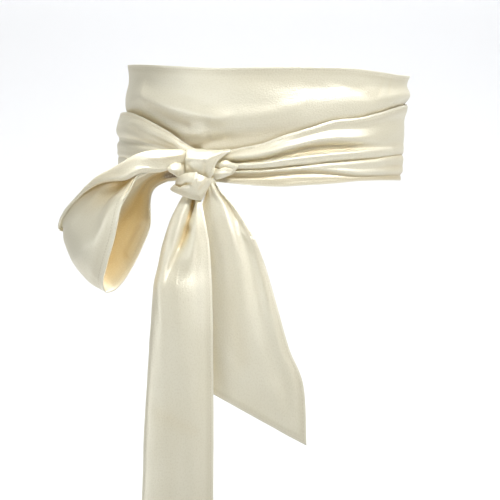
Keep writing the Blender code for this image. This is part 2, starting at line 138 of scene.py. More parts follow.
def crease(grid, fold, along, across, rows, outward=1.0, joined=False):
    """Press listed folds into a grid.

    Each row runs from one place to another in the piece's own two directions, with
    a bow across, a height (below 0 for a trough), the reach of its slope before and
    after it across the strip, its strength at both ends, and how far the cloth
    before it laps over it. `fold` gathers how deep the troughs are, as painted shade
    for the material.
    """
    normal = normals(grid, joined) * outward
    sideways = np.gradient(grid, axis=1)
    sideways /= np.maximum(np.linalg.norm(sideways, axis=2, keepdims=True), 1e-9)
    samples = np.linspace(0, 1, ROUTE_POINTS)
    moved = np.zeros_like(grid)
    for a0, c0, a1, c1, bow, height, before, after, start, end, lap in rows:
        at_along = np.interp(a0 + (a1 - a0) * samples, along, np.arange(len(along)))
        wanted = c0 + (c1 - c0) * samples + bow * 4 * samples * (1 - samples)
        route, sides = [], []
        for place, share in zip(at_along, wanted):
            low = min(int(place), len(along) - 2)
            part = place - low
            ladder = across if across.ndim == 1 else across[low] * (1 - part) + across[low + 1] * part
            step = np.interp(share, ladder, np.arange(len(ladder)))
            j = min(int(step), len(ladder) - 2)
            q = step - j
            corner = grid[low:low + 2, j:j + 2]
            route.append((corner[0, 0] * (1 - part) + corner[1, 0] * part) * (1 - q)
                         + (corner[0, 1] * (1 - part) + corner[1, 1] * part) * q)
            sides.append(sideways[low, j])
        route, sides = np.array(route), np.array(sides)
        run = np.gradient(route, axis=0)
        run /= np.maximum(np.linalg.norm(run, axis=1, keepdims=True), 1e-9)
        sides -= run * np.sum(run * sides, axis=1, keepdims=True)
        near = np.full(grid.shape[:2], 1e9)
        nearest = np.zeros(grid.shape[:2], dtype=int)
        for place in range(len(route)):
            distance = np.linalg.norm(grid - route[place], axis=2)
            closer = distance < near
            near[closer] = distance[closer]
            nearest[closer] = place
        side = np.sum((grid - route[nearest]) * sides[nearest], axis=2)
        reach = np.where(side < 0, before, after)
        facing = np.sum(normal * normal[np.unravel_index(near.argmin(), near.shape)], axis=2)
        shape = bell(near, reach) * (start + (end - start) * samples[nearest])
        shape *= np.clip(facing + 0.6, 0, 1)
        moved += normal * (height * shape)[..., None]
        moved += sides[nearest] * (lap * shape * (side < 0))[..., None]
        # Painted shade in the troughs, stronger in narrow creases.
        fold += np.maximum(-height, 0) * shape * np.clip(NARROW_CREASE / (before + after), 0.8, 2.5)
    grid += moved


def ripple(grid, normal, where, size):
    """Small uneven swells, read from smooth noise at `where`."""
    heights = [noise.noise(Vector(place)) + 0.5 * noise.noise(Vector(place) * 2.3)
               for place in where.reshape(-1, 3)]
    grid += normal * (np.array(heights).reshape(grid.shape[:2]) * size)[..., None]


def satin_shell(name, grid, fold, joined=False, painted_shade_inside=0.0, hems=(1, 1), end_hem=False, hem=HEM_WIDTH):
    """A closed shell of cloth on a grid of middle points, thicker at its hems.

    It keeps, for its material, the place along and across the strip in metres, how
    far each point is from a hem, and its painted shade, mostly from how deep in a
    fold it lies.
    """
    count, across = grid.shape[:2]
    steps = np.linalg.norm(np.diff(grid, axis=1), axis=2)
    place_across = np.concatenate([np.zeros((count, 1)), np.cumsum(steps, axis=1)], axis=1)
    steps = np.linalg.norm(np.diff(grid[:, across // 2], axis=0), axis=1)
    place_along = np.concatenate([[0.0], np.cumsum(steps)])
    from_first = place_across if hems[0] else np.full_like(place_across, NO_HEM)
    from_last = place_across[:, -1:] - place_across if hems[1] else np.full_like(place_across, NO_HEM)
    from_hem = np.minimum(from_first, from_last)
    if end_hem:
        left = np.linalg.norm(np.diff(grid, axis=0), axis=2)[::-1]
        left = np.concatenate([np.zeros((1, across)), np.cumsum(left, axis=0)])[::-1]
        from_hem = np.minimum(from_hem, left)
    extra = HEM_EXTRA / (1 + np.exp((from_hem - hem) / HEM_STEP))
    half = ((CLOTH + extra) / 2)[..., None]
    normal = normals(grid, joined)
    points = np.concatenate([(grid + normal * half).reshape(-1, 3), (grid - normal * half).reshape(-1, 3)])
    size = count * across
    spans = count if joined else count - 1
    i, j = np.meshgrid(np.arange(spans), np.arange(across - 1), indexing="ij")
    here, there = i * across + j, ((i + 1) % count) * across + j
    top = np.stack([here, there, there + 1, here + 1], axis=-1).reshape(-1, 4)
    faces = [top, top[:, ::-1] + size]
    i = np.arange(spans)
    here, there = i * across, ((i + 1) % count) * across
    faces.append(np.stack([here + size, there + size, there, here], axis=-1))
    last = across - 1
    faces.append(np.stack([here + last, there + last, there + last + size, here + last + size], axis=-1))
    if not joined:
        j = np.arange(across - 1)
        faces.append(np.stack([j, j + 1, j + 1 + size, j + size], axis=-1))
        end = (count - 1) * across + j
        faces.append(np.stack([end + size, end + 1 + size, end + 1, end], axis=-1))
    faces = np.concatenate(faces)

    mesh = bpy.data.meshes.new(name)
    mesh.from_pydata((points * MM).tolist(), [], faces.tolist())
    mesh.shade_smooth()
    cloth_map = mesh.uv_layers.new(name="cloth")
    flat = np.stack([np.broadcast_to(place_along[:, None], (count, across)), place_across], axis=-1)
    flat = np.concatenate([flat.reshape(-1, 2)] * 2) * MM
    cloth_map.data.foreach_set("uv", flat[faces.reshape(-1)].astype(np.float32).reshape(-1))
    # The painted shade on the back of the shell: half that of the front, plus its own painted shade.
    painted_shade_inside = np.broadcast_to(painted_shade_inside, fold.shape).reshape(-1)
    deep = np.concatenate([fold.reshape(-1), fold.reshape(-1) * 0.5 + painted_shade_inside])
    from_hem = np.concatenate([from_hem.reshape(-1)] * 2) * HEM_WIDTH / hem
    for label, values in (("from_hem", from_hem), ("fold", deep)):
        layer = mesh.attributes.new(label, "FLOAT", "POINT")
        layer.data.foreach_set("value", values.astype(np.float32))
    mesh.validate()
    piece = bpy.data.objects.new(name, mesh)
    bpy.context.scene.collection.objects.link(piece)
    return piece


class Thread:
    """A shader socket that Python's operators join into Math nodes."""

    def __init__(self, tree, socket=None):
        self.tree = tree
        self.socket = socket

    def node(self, kind, settings=None, sockets=None, output=0):
        """A new node of a kind, with its settings and its sockets' values or links."""
        node = self.tree.nodes.new(kind)
        for name, value in (settings or {}).items():
            setattr(node, name, value)
        for name, value in (sockets or {}).items():
            if isinstance(value, Thread):
                self.tree.links.new(value.socket, node.inputs[name])
            else:
                node.inputs[name].default_value = value
        return Thread(self.tree, node.outputs[output])

    def math(self, operation, first, second=0.0):
        return self.node("ShaderNodeMath", {"operation": operation}, {0: first, 1: second})

    def __add__(self, other):
        return self.math("ADD", self, other)

    def __sub__(self, other):
        return self.math("SUBTRACT", self, other)

    def __rsub__(self, other):
        return self.math("SUBTRACT", other, self)

    def __mul__(self, other):
        return self.math("MULTIPLY", self, other)

    def __truediv__(self, other):
        return self.math("DIVIDE", self, other)

    def __lt__(self, other):
        return self.math("LESS_THAN", self, other)

    __radd__ = __add__
    __rmul__ = __mul__

    def stretch(self, *factors):
        """A vector scaled along each of its axes."""
        return self.node("ShaderNodeVectorMath", {"operation": "MULTIPLY"}, {0: self, 1: factors})

    def blend(self, first, second):
        """The colour that this share mixes from two others."""
        return self.node("ShaderNodeMix", {"data_type": "RGBA"}, {0: self, 6: first, 7: second}, output=2)


IVORY = (0.835, 0.765, 0.56, 1.0)
IVORY_PALE = (0.895, 0.85, 0.685, 1.0)
IVORY_DEEP = (0.64, 0.57, 0.38, 1.0)
PAINTED_GOLD_SHADE = (0.60, 0.42, 0.12, 1.0)
PAINTED_CREVICE_SHADE = (0.16, 0.07, 0.02, 1.0)
PAINTED_GLOW_IN_FOLDS = (0.13, 0.075, 0.01, 1.0)
BLACK = (0.0, 0.0, 0.0, 1.0)
STITCH_PITCH = 0.0024
STITCH_LINE = 2.5
STITCH_HALF_WIDTH = 0.28
GROOVE_HALF_WIDTH = 0.5
# Widths in millimetres of the painted highlight along the hem's turned edge and of the painted shade behind
# it.
HEM_EDGE_HIGHLIGHT = 1.2
SHADE_BEHIND_HEM = 4.6
SHADE_REACH = 3.2


def satin(name, gloss_turn=0.0, painted_glow_strength=0.3):
    """Ivory satin: long floats along the strip, a soft gloss, a stitched narrow hem,
    with painted shade in its folds and behind its hem, a painted highlight on the
    hem's turned edge and a painted glow in the folds.

    `gloss_turn` turns the gloss so that it runs along the strip, as a share of a
    turn, and the glow's strength is how strongly the folds glow with painted light,
    standing for the light they throw back on themselves.
    """
    material = bpy.data.materials.new(name)
    material.use_nodes = True
    tree = material.node_tree
    shader = tree.nodes["Principled BSDF"]
    start = Thread(tree)
    place = start.node("ShaderNodeUVMap", {"uv_map": "cloth"})
    from_hem = start.node("ShaderNodeAttribute", {"attribute_name": "from_hem"}, output=2)
    fold = start.node("ShaderNodeAttribute", {"attribute_name": "fold"}, output=2)

    def mottle(along, across, detail=2.0, roughness=0.5):
        """Noise with so many spots to a metre along and across the strip."""
        spot = place.stretch(along, across, 1.0)
        return start.node("ShaderNodeTexNoise", None,
                          {"Vector": spot, "Scale": 1.0, "Detail": detail, "Roughness": roughness})

    cloudy = mottle(14.0, 30.0)
    floats = mottle(420.0, 2600.0, detail=3.0, roughness=0.65)
    slubs = mottle(90.0, 1500.0)
    grain = mottle(640.0, 760.0)

    separate = start.node("ShaderNodeSeparateXYZ", None, {"Vector": place})
    stitch_run = start.math("FRACT", separate / STITCH_PITCH)
    off_line = start.math("ABSOLUTE", from_hem - STITCH_LINE)
    stitch = (off_line < STITCH_HALF_WIDTH) * (stitch_run < 0.7)
    groove = off_line < GROOVE_HALF_WIDTH

    body = cloudy.blend(IVORY, IVORY_PALE)
    # Painted shade from the fold attribute: gold in the folds, brown in the crevices.
    shaded = start.node("ShaderNodeClamp", None, {"Value": fold * 0.16})
    crevice_shade = start.node("ShaderNodeClamp", None, {"Value": fold * 0.24 - 1.2})
    body = shaded.blend(body, PAINTED_GOLD_SHADE)
    body = crevice_shade.blend(body, PAINTED_CREVICE_SHADE)
    # Painted shade just behind the hem, and a painted highlight along its turned edge.
    from_shade = start.math("ABSOLUTE", from_hem - SHADE_BEHIND_HEM)
    painted_shade_behind_hem = start.math("MAXIMUM", 1.0 - from_shade / SHADE_REACH, 0.0)
    body = (painted_shade_behind_hem * 0.35).blend(body, IVORY_DEEP)
    body = ((from_hem < HEM_EDGE_HIGHLIGHT) * 0.7).blend(body, IVORY_PALE)
    body = (stitch * 0.5).blend(body, IVORY_DEEP)
    body = ((slubs - 0.5) * 0.18).blend(body, IVORY_PALE)
    body = ((grain - 0.45) * 0.9).blend(body, IVORY_PALE)
    body = (0.52 - grain).blend(body, IVORY_DEEP)
    tree.links.new(body.socket, shader.inputs["Base Color"])
    # A painted glow in the folds, for the light they throw back on themselves.
    painted_glow = (shaded - crevice_shade).blend(BLACK, PAINTED_GLOW_IN_FOLDS)
    tree.links.new(painted_glow.socket, shader.inputs["Emission Color"])
    shader.inputs["Emission Strength"].default_value = painted_glow_strength

    gloss = 0.45 + (floats - 0.5) * 0.12 + (grain - 0.5) * 0.20 + (cloudy - 0.5) * 0.08
    tree.links.new(gloss.socket, shader.inputs["Roughness"])

    relief = floats * 0.5 + slubs * 0.25 + grain * 0.8 + stitch * 1.6 - groove
    bump = start.node("ShaderNodeBump", None,
                      {"Strength": 0.6, "Distance": 0.0004, "Height": relief})
    tree.links.new(bump.socket, shader.inputs["Normal"])
    shader.inputs["Metallic"].default_value = 0.22
    shader.inputs["IOR"].default_value = 1.9
    shader.inputs["Specular IOR Level"].default_value = 1.0
    shader.inputs["Anisotropic"].default_value = 0.5
    shader.inputs["Anisotropic Rotation"].default_value = gloss_turn
    shader.inputs["Sheen Weight"].default_value = 0.15
    shader.inputs["Sheen Roughness"].default_value = 0.42
    shader.inputs["Sheen Tint"].default_value = (1.0, 0.98, 0.92, 1.0)
    return material


def wear(piece, material, *nodes):
    """Dress a piece, put it in the place of its solids and let it ride on the sash."""
    piece.data.materials.append(material)
    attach(piece, "root")
    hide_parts(*nodes)


# Round the waist from the back: the top edge, and how far the band stands out at
# its top, in its hollow, at its swell and at the crossing.
FIRST_TURN = table("angle top out_top out_hollow out_swell out_cross", [
    (-180, 49.0, 5.0, 4.6, 6.0, 3.0),
    (-135, 51.5, 5.2, 4.6, 6.6, 3.6),
    (-90, 53.7, 5.8, 4.6, 8.0, 6.0),
    (-57, 52.2, 5.4, 4.6, 8.0, 3.4),
    (-41, 50.3, 5.0, 4.4, 7.4, 1.8),
    (-22, 48.1, 5.0, 5.0, 6.2, 0.8),
    (0, 48.5, 5.0, 4.8, 5.6, 1.6),
    (19, 48.7, 5.0, 4.4, 6.0, 3.6),
    (35, 48.2, 5.2, 4.2, 6.6, 4.6),
    (48, 46.1, 6.0, 4.6, 7.2, 4.8),
    (62, 44.1, 7.6, 5.2, 8.2, 4.6),
    (90, 44.3, 9.2, 6.2, 9.0, 3.8),
    (135, 46.5, 7.0, 5.2, 7.6, 3.0),
    (180, 49.0, 5.0, 4.6, 6.0, 3.0),
])

# The outer turn, whose top edge the first turn gives way to: heights of its top, its
# three tucks and its bottom, then how far it stands out, how deep the tucks are, and
# how much its lower side is drawn in.
OUTER_TURN = table("angle top tuck_a tuck_a_foot tuck_b tuck_c bottom out depth draw", [
    (-27, -25.4, -30.2, -31.8, -36.2, -39.6, -45.0, 7.6, 1.4, 0.0),
    (-11, -18.1, -28.6, -30.6, -35.6, -39.2, -48.3, 7.4, 3.2, 0.0),
    (-3, -15.0, -26.8, -29.2, -35.2, -38.6, -49.7, 7.0, 3.2, 0.0),
    (6, -8.0, -21.6, -26.0, -33.4, -37.4, -50.2, 6.6, 3.2, 0.0),
    (15, -2.5, -16.6, -23.6, -31.6, -36.6, -49.2, 6.2, 3.0, 0.2),
    (26, 4.4, -14.3, -21.4, -29.4, -38.2, -48.2, 6.0, 2.8, 0.5),
    (38, 6.9, -15.2, -20.0, -28.0, -41.4, -46.6, 6.0, 2.4, 1.0),
    (49, 11.0, -15.6, -19.0, -26.9, -42.0, -46.4, 5.8, 2.0, 1.6),
    (62, 15.7, -14.6, -18.0, -25.2, -42.2, -47.0, 5.4, 1.6, 2.2),
    (85, 18.8, -12.6, -16.4, -25.0, -42.4, -48.3, 5.0, 1.4, 2.6),
    (120, 20.0, -9.6, -14.4, -24.5, -40.0, -48.0, 5.4, 1.8, 2.0),
    (150, 21.0, -6.4, -11.6, -24.6, -37.0, -48.0, 5.8, 2.2, 1.0),
    (180, 21.0, -3.6, -9.4, -25.0, -34.6, -48.0, 6.2, 2.4, 0.5),
    (215, 18.0, -5.6, -11.0, -24.2, -34.4, -48.0, 6.8, 2.2, 0.5),
    (250, 13.6, -8.6, -13.2, -24.8, -36.0, -47.6, 11.0, 1.8, 0.5),
    (270, 11.0, -9.4, -14.0, -26.0, -37.0, -47.5, 14.6, 2.2, 0.0),
    (297, 10.4, -10.4, -15.0, -27.6, -38.0, -47.0, 14.4, 2.8, 0.0),
    (306, 5.7, -12.8, -17.0, -28.8, -38.2, -47.0, 13.8, 3.0, 0.0),
    (315, -1.4, -16.2, -20.0, -30.4, -38.6, -47.0, 13.0, 3.0, 0.0),
    (320, -6.0, -19.0, -22.6, -31.8, -39.0, -46.4, 13.2, 3.0, 0.0),
    (325, -12.4, -22.2, -25.2, -33.0, -39.6, -45.6, 13.0, 2.8, 0.0),
    (331, -19.0, -25.8, -28.0, -34.4, -40.0, -44.6, 12.6, 2.4, 0.0),
])


def crossing_height(angle):
    """The height of the outer turn's top edge, which the knot bridges."""
    first, last = OUTER_TURN["angle"][0], OUTER_TURN["angle"][-1]
    angle = (angle - first) % 360.0 + first
    if angle > last:
        share = (angle - last) / (first + 360.0 - last)
        return OUTER_TURN["top"][-1] * (1 - share) + OUTER_TURN["top"][0] * share
    return float(smooth(OUTER_TURN["angle"], OUTER_TURN["top"], angle)[0])


def first_turn_out(angle, height):
    """How far the first turn stands out at an angle and a height."""
    row = sections(FIRST_TURN, "angle", [(angle + 180.0) % 360.0 - 180.0], closed=True)[0]
    cross = crossing_height(angle)
    fall = row["top"] - cross
    heights = np.array([FIRST_TURN_BOTTOM - 10.0, cross - PRESSED_BELOW_CROSSING, cross,
                        cross + SWELL_AT * fall, cross + HOLLOW_AT * fall, row["top"] + 1.0])
    outs = np.array([UNDER_THE_OUTER_TURN, UNDER_THE_OUTER_TURN, row["out_cross"],
                     row["out_swell"], row["out_hollow"], row["out_top"]])
    return smooth(heights, outs, height)


FIRST_TURN_STATIONS = 300
FIRST_TURN_POINTS = 64
FIRST_TURN_WIDTH = 95.0
# The painted warm shade on the band along the crossing, and a softer one above the knot.
CROSSING_SHADE = 3.6
CROSSING_SHADE_REACH = 2.4
KNOT_SHADE = 2.0
KNOT_SHADE_RISE = 6.0
KNOT_SHADE_ANGLE = -12.0
KNOT_SHADE_SPREAD = 18.0
# From and to an angle and a height, then bow, height, reach above and below,
# strength at both ends, lap.
FIRST_TURN_FOLDS = [
    (-60, 25, -18, 6, -1.0, 2.0, 7.0, 5.0, 0.5, 1.0, 0),
    (-22, 6, 10, 15, -2.0, 1.6, 7.0, 5.0, 1.0, 0.6, 0),
    (-53, 16, -34, 0, -1.0, -1.5, 4.0, 4.0, 0.6, 1.0, 0),
    (-66, 6, -29, -12, 0.0, 2.4, 9.0, 9.0, 0.6, 1.0, 0),
    (-34, -17, 22, 1, 1.0, -3.4, 5.0, 5.0, 1.0, 0.0, 0),
    (-60, 36, -57, 17, 0.0, 0.8, 3.0, 3.0, 1.0, 0.6, 0),
    (53, 40, 50, 27, 0.0, -0.45, 1.6, 1.6, 0.6, 1.0, 0),
    (59, 42, 57, 28, 0.0, -0.45, 1.6, 1.6, 0.7, 1.0, 0),
    (-30, 38, 20, 34, 2.0, -0.9, 7.0, 7.0, 0.3, 1.0, 0),
    (24, 38, 46, 24, 0.0, -0.6, 5.0, 5.0, 0.6, 1.0, 0),
    (110, 38, 160, 30, 2.0, 1.2, 6.0, 6.0, 0.4, 1.0, 0),
    (-160, 34, -110, 40, -2.0, -1.2, 6.0, 5.0, 1.0, 0.4, 0),
]

angles = np.linspace(-180, 180, FIRST_TURN_STATIONS + 1)[:-1]
shares = shares_across(FIRST_TURN_POINTS, FIRST_TURN_WIDTH)
grid = []
for angle in angles:
    top = float(smooth(FIRST_TURN["angle"], FIRST_TURN["top"], angle, closed=True)[0])
    heights = top + (FIRST_TURN_BOTTOM - top) * shares
    x, y = round_waist(angle, first_turn_out(angle, heights))
    grid.append(np.stack([x, y, heights], axis=1))
grid = np.array(grid)
fold = np.zeros(grid.shape[:2])
falling = -grid[:, :, 2]
rows = [(a0, -c0, a1, -c1, -bow, *rest) for a0, c0, a1, c1, bow, *rest in FIRST_TURN_FOLDS]
crease(grid, fold, angles, falling, rows, outward=-1.0, joined=True)
ripple(grid, -normals(grid, joined=True), grid / np.array([34.0, 34.0, 15.0]), size=0.45)
crossing = np.array([crossing_height(angle) for angle in angles])[:, None]
above_crossing = grid[:, :, 2] - crossing
# Painted warm shade along the crossing and above the knot.
fold += CROSSING_SHADE * bell(above_crossing, CROSSING_SHADE_REACH)
fold += (KNOT_SHADE * bell(above_crossing - KNOT_SHADE_RISE, KNOT_SHADE_RISE)
         * bell(angles[:, None] - KNOT_SHADE_ANGLE, KNOT_SHADE_SPREAD))
first_turn = satin_shell("first_turn_satin", grid, fold, joined=True)
wear(first_turn, satin("satin_first_turn"), "first_turn")

# Outer turn: the same strip goes round once more and crosses the first turn on a
# slant. It is gathered into three soft tucks that run into the knot from both
# sides, and it lies on the first turn under its own pull.
OUTER_TURN_STATIONS = 330
OUTER_TURN_POINTS = 130
OUTER_TURN_WIDTH = 70.0
EDGE_LIP = 1.6
EDGE_SET_BACK = 3.0
TUCK_LIP = 1.2
TUCK_SHADE = 1.75
TUCK_LINE = 0.9
TUCK_LINE_SHADE = 2.2
# From and to an angle and a height, as for the first turn.
OUTER_TURN_FOLDS = [
    (-6, -12, 20, 0, 0.0, 0.8, 4.0, 4.0, 1.0, 0.5, 0),
    (-14, -32.5, 10, -30.0, 0.0, 0.9, 2.0, 2.0, 1.0, 0.3, 0),
    (-16, -42.0, 12, -43.5, 0.0, -0.9, 1.8, 1.8, 1.0, 0.2, 0),
    (20, -26, 60, -21, 1.0, 0.8, 3.0, 3.0, 0.5, 1.0, 0),
    (30, -34, 80, -33, -1.0, -0.7, 3.0, 3.0, 0.4, 1.0, 0),
    (35, 1, 80, 6, 0.0, -0.7, 5.0, 5.0, 0.4, 1.0, 0),
    (298, -1, 322, -17, 0.0, -2.0, 3.5, 5.0, 0.4, 1.0, 0),
    (294, -22, 326, -32, 1.0, 1.4, 5.0, 5.0, 0.6, 1.0, 0),
]


def outer_turn_section(row):
    """Heights and outs down one section, tuck by tuck."""
    edge_lip = min(EDGE_LIP, 0.16 * (row["top"] - row["tuck_a"]))
    lip_a = min(TUCK_LIP, 0.3 * (row["top"] - row["tuck_a"]))
    lip_b = min(TUCK_LIP, 0.3 * (row["tuck_a_foot"] - row["tuck_b"]))
    lip_c = min(TUCK_LIP, 0.3 * (row["tuck_b"] - row["tuck_c"]))
    out = row["out"]
    # The tucks are deepest in front on the right and shallow on the left. The first
    # one opens out and closes again round the right side.
    depth = row["depth"] * np.interp(row["angle"], (235, 280), (1.3, 0.45))
    depth_a = depth * np.interp(row["angle"], (34, 54, 95, 140), (1.1, 0.08, 0.08, 1.0))
    edge = max(first_turn_out(row["angle"], row["top"])[0] + TURN_CLEARANCE, out - EDGE_SET_BACK)
    return np.array([
        (row["top"], edge),
        (row["top"] - edge_lip, edge + 0.5),
        (row["top"] * 0.62 + row["tuck_a"] * 0.38, out),
        (row["tuck_a"] + 0.9 * lip_a, out),
        (row["tuck_a"] - 0.2 * lip_a, out - 0.75 * depth_a),
        (row["tuck_a"] * 0.5 + row["tuck_a_foot"] * 0.5, out - depth_a),
        (row["tuck_a_foot"] + 0.5 * lip_b, out - 0.9 * depth_a),
        (row["tuck_a_foot"] - 0.8 * lip_b, out + 0.1 * depth),
        (row["tuck_a_foot"] * 0.4 + row["tuck_b"] * 0.6, out + 0.2 * depth),
        (row["tuck_b"] + 0.6 * lip_b, out - 0.05 * depth),
        (row["tuck_b"] - 0.2 * lip_b, out - 0.7 * depth),
        (row["tuck_b"] - 1.4 * lip_b, out - 0.2 * depth),
        (row["tuck_b"] * 0.4 + row["tuck_c"] * 0.6, out),
        (row["tuck_c"] + 0.6 * lip_c, out - 0.1 * depth),
        (row["tuck_c"] - 0.5 * lip_c, out - 0.8 * depth),
        ((row["tuck_c"] + row["bottom"]) / 2, out - 0.72 * depth),
        (row["bottom"], out - 0.66 * depth),
    ])


angles = np.linspace(OUTER_TURN["angle"][0], OUTER_TURN["angle"][-1], OUTER_TURN_STATIONS)
shares = shares_across(OUTER_TURN_POINTS, OUTER_TURN_WIDTH)
grid, fold = [], []
for row in sections(OUTER_TURN, "angle", angles):
    heights, outs = outer_turn_section(row).T
    outs = outs - row["draw"] * (row["top"] - heights) / (row["top"] - row["bottom"])
    outs = np.maximum(outs, first_turn_out(row["angle"], heights) + TURN_CLEARANCE)
    at = -(row["top"] + (row["bottom"] - row["top"]) * shares)
    fine = smooth(-heights, outs, at)
    x, y = round_waist(row["angle"], fine)
    grid.append(np.stack([x, y, -at], axis=1))
    # Painted shade in the recessed tucks and along the lines of tucks b and c.
    lines = sum(bell(-at - row[tuck], TUCK_LINE) for tuck in ("tuck_b", "tuck_c"))
    deep = np.clip(row["out"] - 0.5 * row["depth"] - fine, 0, 3)
    fold.append(TUCK_SHADE * deep + TUCK_LINE_SHADE * lines)
grid, fold = np.array(grid), np.array(fold)
falling = -grid[:, :, 2]
rows = [(a0, -c0, a1, -c1, -bow, *rest) for a0, c0, a1, c1, bow, *rest in OUTER_TURN_FOLDS]
crease(grid, fold, angles, falling, rows, outward=-1.0)
ripple(grid, -normals(grid), grid / np.array([30.0, 30.0, 9.0]), size=0.35)
outer_turn = satin_shell("outer_turn_satin", grid, fold)
wear(outer_turn, satin("satin_outer_turn"), "outer_turn")

# Bow loop: the strip leaves the knot, turns at its far end and comes back behind
# it. Its upper part rolls forward over the panel below, and its hem frames a mouth
# that opens to the right, with painted golden shade inside where the satin lights itself.
LOOP_STATIONS = 220
LOOP_POINTS = 120
LOOP_WIDTH = 90.0
LOOP_HEM = 5.5
# Strengths of the painted shades on the loop.
PAINTED_ORANGE_UNDER_ROLL = 5.0
CAST_SHADE = 2.0
PAINTED_GOLD_INSIDE = 4.8
PAINTED_DARK_OPENING = 8.0
# The hem's and the crest's places from the knot out and back, how far the rolled top
# comes down and stands proud, and how hollow or full the panel below it is.
LOOP = table("station hem_x hem_y hem_z crest_x crest_y crest_z roll proud hollow belly", [
    (0, -66.5, -100, -33, -65, -100, -21.8, 6, 2.6, 0, 0),
    (1, -86, -108.0, -34, -85, -105, -19.0, 19, 5.0, 0, 0),
    (2, -105, -116, -39, -102, -108, -21.5, 20, 6.0, 0, 0),
    (3, -113, -123, -53, -121, -107, -32.0, 18, 6.5, 3, 0),
    (4, -119.5, -126, -66, -143.5, -98, -44.0, 9, 4.0, 4, 3),
    (5, -125, -125, -90, -161, -88, -60.0, 2, 1.0, 0, 6),
    (6, -132, -120, -113, -172.5, -78, -72.5, 2, 0.8, -6, 7),
    (7, -136, -113, -128.5, -177.5, -68, -81, 2, 0.8, -9, 6),
    (8, -134, -105, -137, -178, -60, -86, 3, 2.2, -7, 6),
    (9, -125.5, -99, -134, -172, -55, -85, 3, 2.4, -4, 4),
    (10, -115, -95, -120, -160, -57, -77, 3, 2.4, 0, 3),
    (11, -105, -93, -100, -146, -62, -65, 3, 2.6, 0, 2),
    (12, -98.5, -92, -83, -130, -69, -54, 4, 3.0, 0, 1),
    (13, -98.5, -91, -65, -114, -77, -46, 4, 3.0, 0, 1),
    (14, -95.5, -92, -53, -100, -86, -39, 3, 2.6, 0, 0),
    (15, -84, -94, -46, -84, -92, -33, 3, 2.0, 0, 0),
    (16, -71, -96, -44, -71, -95, -33, 3, 2.0, 0, 0),
])
# From and to a station and a share across, from the roll to the hem.
LOOP_FOLDS = [
    (0.4, 0.34, 3.0, 0.30, 0.0, -2.6, 4.0, 5.0, 1.0, 0.1, 0),
    (4.6, 0.50, 6.6, 0.66, 0.0, 3.0, 12.0, 12.0, 0.8, 0.8, 0),
    (2.5, 0.93, 3.7, 0.98, 0.0, -0.7, 1.0, 1.0, 1.0, 0.6, 0),
    (1.0, 0.16, 4.2, 0.14, 0.0, 1.0, 3.0, 3.0, 1.0, 0.4, 0),
    (12.0, 0.75, 15.0, 0.6, 0.0, -1.6, 4.0, 4.0, 0.2, 1.0, 0),
    (9.4, 0.72, 12.6, 0.66, 0.04, 1.2, 4.0, 5.0, 0.4, 1.0, 0),
    (10.4, 0.84, 11.6, 0.86, 0.0, -1.8, 4.0, 4.0, 1.0, 1.0, 0),
]


def through(points, places):
    """Points on a smooth curve through a section's control points."""
    points = np.array(points, dtype=float)
    steps = np.linalg.norm(np.diff(points, axis=0), axis=1)
    run = np.concatenate([[0.0], np.cumsum(steps)])
    at = places * run[-1]
    return np.stack([smooth(run, points[:, axis], at) for axis in range(3)], axis=1)


def spots(along, across, layer):
    """Where a strip's ripples are read from the noise, so that pieces differ."""
    where = np.meshgrid(along, across, indexing="ij")
    return np.stack(where + [np.full(where[0].shape, layer)], axis=-1)


stations = np.linspace(0, LOOP["station"][-1], LOOP_STATIONS)
rows = sections(LOOP, "station", stations)
hem = np.array([(row["hem_x"], row["hem_y"], row["hem_z"]) for row in rows])
crest = np.array([(row["crest_x"], row["crest_y"], row["crest_z"]) for row in rows])
outward = np.cross(crest - hem, np.gradient((hem + crest) / 2, axis=0))
outward /= np.linalg.norm(outward, axis=1, keepdims=True)
shares = shares_across(LOOP_POINTS, LOOP_WIDTH)
grid = []
for row, out, low, high in zip(rows, outward, hem, crest):
    up = (high - low) / np.linalg.norm(high - low)
    roll, proud = row["roll"], row["proud"]
    grid.append(through([
        high + out * (0.85 * proud - 0.14 * roll) - up * 0.97 * roll,
        high + out * 0.9 * proud - up * 0.9 * roll,
        high + out * proud - up * 0.55 * roll,
        high + out * 0.55 * proud - up * 0.08 * roll,
        high - out * 0.15 * proud - up * 0.1 * roll,
        low * 0.25 + high * 0.75 - out * 0.6 * row["hollow"],
        low * 0.55 + high * 0.45 - out * row["hollow"],
        low * 0.8 + high * 0.2 + out * row["belly"],
        low,
    ], shares))
grid = np.array(grid)
fold = np.zeros(grid.shape[:2])
crease(grid, fold, stations, shares, LOOP_FOLDS)
at = stations[:, None]
share = shares[None, :]
# The painted shade under the roll beside the knot, orange at its deepest, and the
# soft painted shadow that the roll casts further out.
painted_shade_under_roll = bell(share - 0.71 + 0.23 * (at - 3.07), 0.13) * bell(at - 3.2, 0.8)
painted_shadow_cast_by_roll = bell(at - 4.0, 1.1) / (1 + np.exp((share - 0.98 + 0.33 * (at - 3.3)) / 0.04))
fold += PAINTED_ORANGE_UNDER_ROLL * painted_shade_under_roll + CAST_SHADE * painted_shadow_cast_by_roll
# The inside's painted shade: golden in its depth, paler at the hem, darkest in the
# opening beside the knot.
into_mouth = np.clip((share - 0.40) / 0.15, 0, 1)
to_hem = np.interp(share, (0.6, 0.78, 0.93, 0.96), (1.1, 0.8, 0.4, 0.1))
opening = bell(at - 15.4, 0.6) * bell(share - 0.78, 0.22)
painted_mouth_shade = PAINTED_GOLD_INSIDE * into_mouth * to_hem + PAINTED_DARK_OPENING * opening
ripple(grid, normals(grid), spots(stations * 0.8, shares * 4.0, 0.0), size=0.5)
bow_loop = satin_shell("bow_loop_satin", grid, fold, painted_shade_inside=painted_mouth_shade, hems=(0, 1), hem=LOOP_HEM)
wear(bow_loop, satin("satin_bow_loop", painted_glow_strength=0.7), "bow_loop")

# Left tail: the long free end hangs in front, from under the knot to a slanted,
# hemmed cut. Its left side is turned back behind it, and a deep crease runs down
# from the knot.
TAIL_STATIONS = 230
TAIL_POINTS = 110
CLOSER_AT_THE_KNOT = 1.35
TAIL_WIDTH = 90.0
